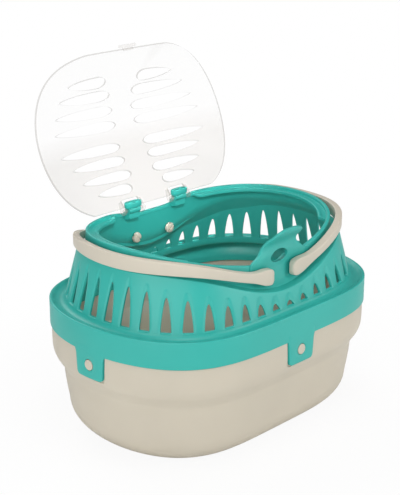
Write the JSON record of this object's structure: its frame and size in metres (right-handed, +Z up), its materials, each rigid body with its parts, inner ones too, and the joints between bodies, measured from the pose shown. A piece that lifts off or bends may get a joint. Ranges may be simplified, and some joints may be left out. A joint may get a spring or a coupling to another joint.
{
  "type": "small pet carrier",
  "caption": "Small pet carrier: deep oval tub, slotted upper shell with side clips, clear domed lid hinged along one long side, and two half handles folded round the rim.",
  "frame": {"origin": "centre of the tub's flat underside, on the surface it stands on", "axes": "+X along the lid's hinge line, +Y towards the hinge, -Y towards the latch, +Z up"},
  "size_m": [0.301, 0.2261, 0.3283],
  "materials": {
    "tub": "satin",
    "shell": "satin",
    "handle": "satin",
    "lid": "clear"
  },
  "bodies": {
    "carrier": {"base_tub": "tub", "upper_shell": "shell"},
    "lid": {"clear_lid": "lid"},
    "left_half_handle": {"left_handle": "handle"},
    "right_half_handle": {"right_handle": "handle"}
  },
  "joints": [
    {"name": "lid_hinge", "type": "hinge", "parent": "carrier", "child": "lid", "pos_m": [0, 0.06992, 0.184], "axis": [1, 0, 0], "range_deg": [0, 110.5]},
    {"name": "left_handle_pivot", "type": "hinge", "parent": "carrier", "child": "left_half_handle", "pos_m": [-0.0215, 0, 0.15379], "axis": [0, 1, 0], "range_deg": [0, 10]},
    {"name": "right_handle_pivot", "type": "hinge", "parent": "carrier", "child": "right_half_handle", "pos_m": [0.0215, 0, 0.15379], "axis": [0, -1, 0], "range_deg": [0, 10]}
  ]
}
